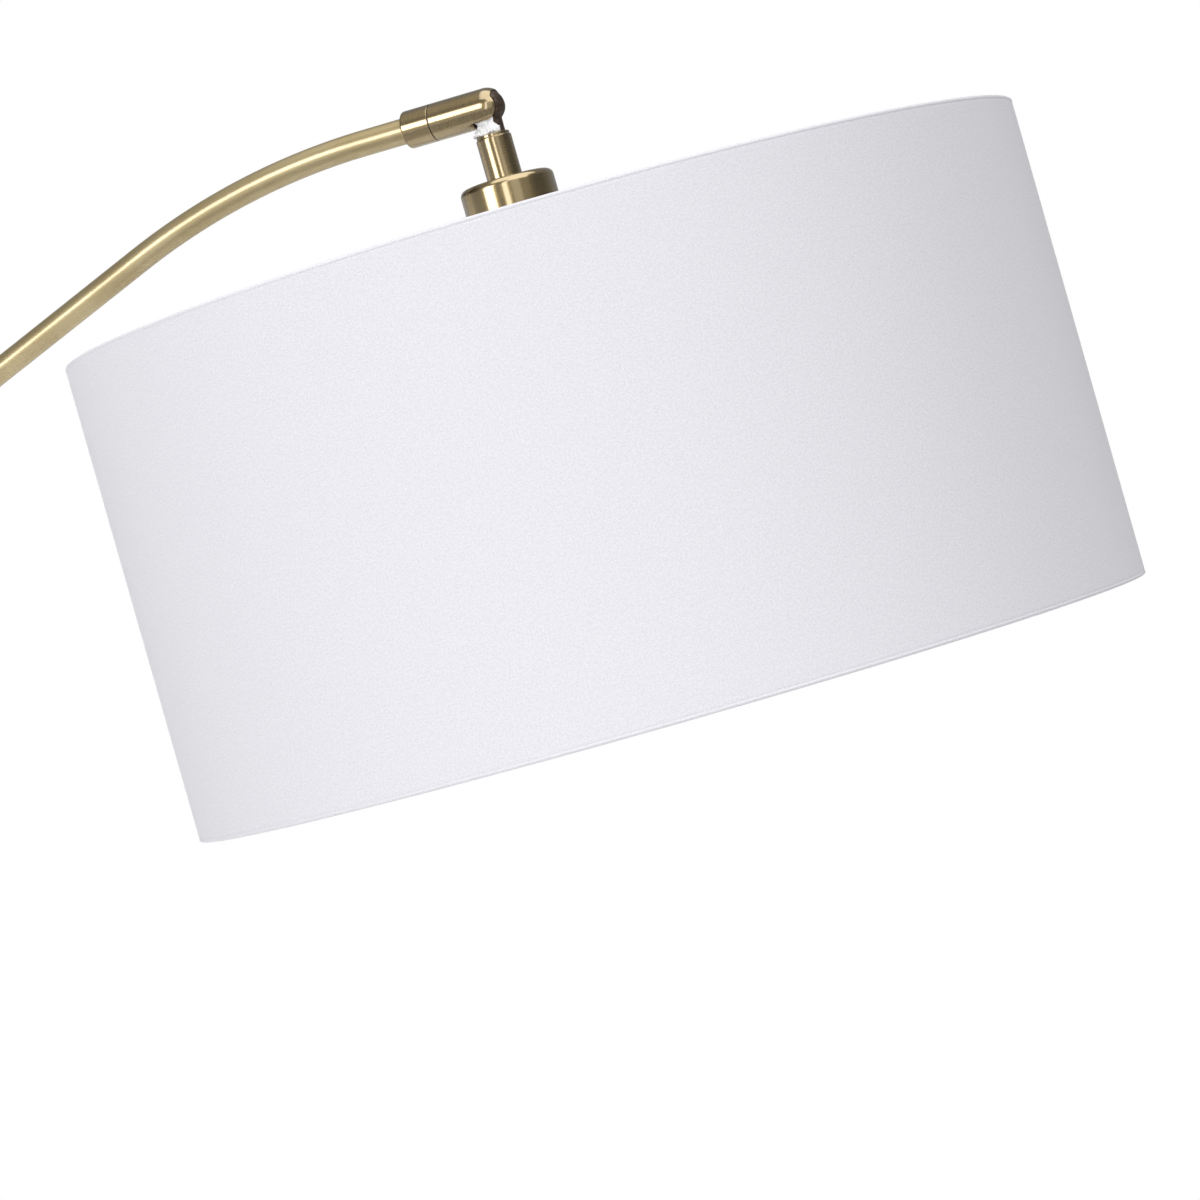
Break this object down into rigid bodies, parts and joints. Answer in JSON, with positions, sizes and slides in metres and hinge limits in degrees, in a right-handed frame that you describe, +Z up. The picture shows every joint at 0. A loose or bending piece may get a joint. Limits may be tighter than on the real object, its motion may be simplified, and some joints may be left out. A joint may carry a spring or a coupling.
{
  "type": "arc floor lamp",
  "caption": "Arc floor lamp with a weighted round base, jointed pole, bent brass arm, swivelling and tilting knuckle, and a wide white drum shade.",
  "frame": {"origin": "on the floor, at the middle of the base's felt pad", "axes": "+Z up, +X from the pole towards the head, in the plane of the arm, +Y to the left of that"},
  "size_m": [1.0357, 0.406, 1.6675],
  "materials": {
    "antique_brass": "brushed, antique, lacquered",
    "dark_cast": "rough as-cast, dark brown",
    "cast_iron": "rough casting, hidden",
    "zinc_steel": "zinc plated",
    "black_plastic": "moulded, satin",
    "white_nylon": "moulded nylon",
    "core_insulation": "extruded wire insulation",
    "lead_jacket": "flexible jacket",
    "felt": "pressed felt",
    "phenolic": "moulded phenolic",
    "socket_metal": "drawn and threaded",
    "cap_metal": "rolled thread",
    "opal_glass": "opal white, matt",
    "white_wire": "powder coated wire",
    "shade_linen": "white plain weave, laminated",
    "shade_styrene": "smooth white film"
  },
  "bodies": {
    "stand": {"base_felt_pad": "felt", "base_weight": "cast_iron", "base_cover": "antique_brass", "base_stem": "zinc_steel", "stem_washer": "zinc_steel", "stem_nut": "zinc_steel", "cord_gland": "black_plastic", "foot_collar": "antique_brass", "lower_pole": "antique_brass", "lower_pole_foot_plug": "zinc_steel", "lower_pole_top_plug": "zinc_steel", "pole_nipple": "zinc_steel", "pole_joint_ring": "antique_brass", "upper_pole": "antique_brass", "upper_pole_foot_plug": "zinc_steel", "arm_reducer": "antique_brass", "arm_set_screw": "zinc_steel", "arm_tube": "antique_brass", "lamp_lead": "lead_jacket", "arm_collar": "antique_brass", "swivel_stud": "zinc_steel", "swivel_washer": "black_plastic", "swivel_spring_washer": "zinc_steel", "swivel_nut": "zinc_steel"},
    "knuckle": {"knuckle_housing": "antique_brass", "knuckle_pin": "zinc_steel", "friction_washer_near": "white_nylon", "friction_washer_far": "white_nylon"},
    "head": {"knuckle_tongue": "dark_cast", "neck_bush": "white_nylon", "neck_tube": "antique_brass", "neck_nipple": "zinc_steel", "neck_lock_nut": "zinc_steel", "socket_cup": "antique_brass", "socket_bracket": "zinc_steel", "socket_body": "phenolic", "socket_shell": "socket_metal", "socket_contact": "socket_metal", "shade_retaining_ring": "white_nylon", "lead_core_live": "core_insulation", "lead_core_neutral": "core_insulation", "bulb_cap": "cap_metal", "bulb_contact": "cap_metal", "bulb_glass": "opal_glass", "shade_fabric": "shade_linen", "shade_liner": "shade_styrene", "shade_bottom_ring": "white_wire", "shade_spider": "white_wire"},
    "switch": {"switch_shaft": "zinc_steel", "switch_knob": "black_plastic"}
  },
  "joints": [
    {"name": "head_swivel", "type": "hinge", "parent": "stand", "child": "knuckle", "pos_m": [0.61694, 0, 1.65954], "axis": [0.9646, 0, 0.2639], "range_deg": [-165, 165]},
    {"name": "head_tilt", "type": "hinge", "parent": "knuckle", "child": "head", "pos_m": [0.61694, 0, 1.65954], "axis": [0, -1, 0], "range_deg": [0, 85], "deforming": ["lead_core_live", "lead_core_neutral"]},
    {"name": "switch_turn", "type": "hinge", "parent": "head", "child": "switch", "pos_m": [0.63271, 0, 1.60454], "axis": [0.9553, 0, 0.2957], "continuous": true}
  ]
}
